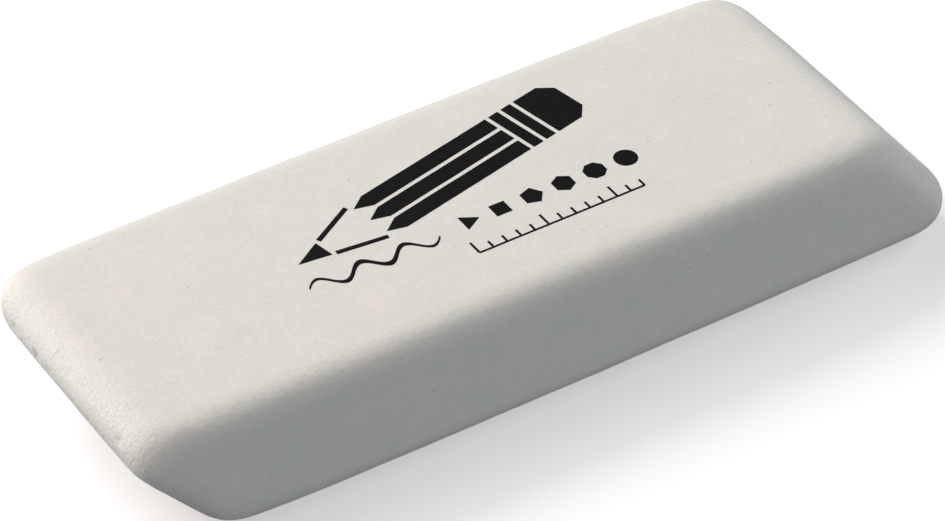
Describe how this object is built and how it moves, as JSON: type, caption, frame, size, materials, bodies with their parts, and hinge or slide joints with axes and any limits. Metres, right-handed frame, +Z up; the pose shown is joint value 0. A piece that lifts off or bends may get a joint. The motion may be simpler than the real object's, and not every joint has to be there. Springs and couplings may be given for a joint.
{
  "type": "rubber eraser",
  "caption": "White rubber block eraser: a parallelogram profile with slanted ends, and every edge and corner tumbled round.",
  "frame": {"origin": "middle of the bottom of the bounding box, on the flat underside", "axes": "+X along the length towards the end that leans out, +Y across the width, +Z up"},
  "size_m": [0.059, 0.02, 0.01],
  "materials": {
    "rubber": "matte, fine powdery tumbled surface"
  },
  "bodies": {
    "root": {"eraser": "rubber"}
  },
  "joints": []
}
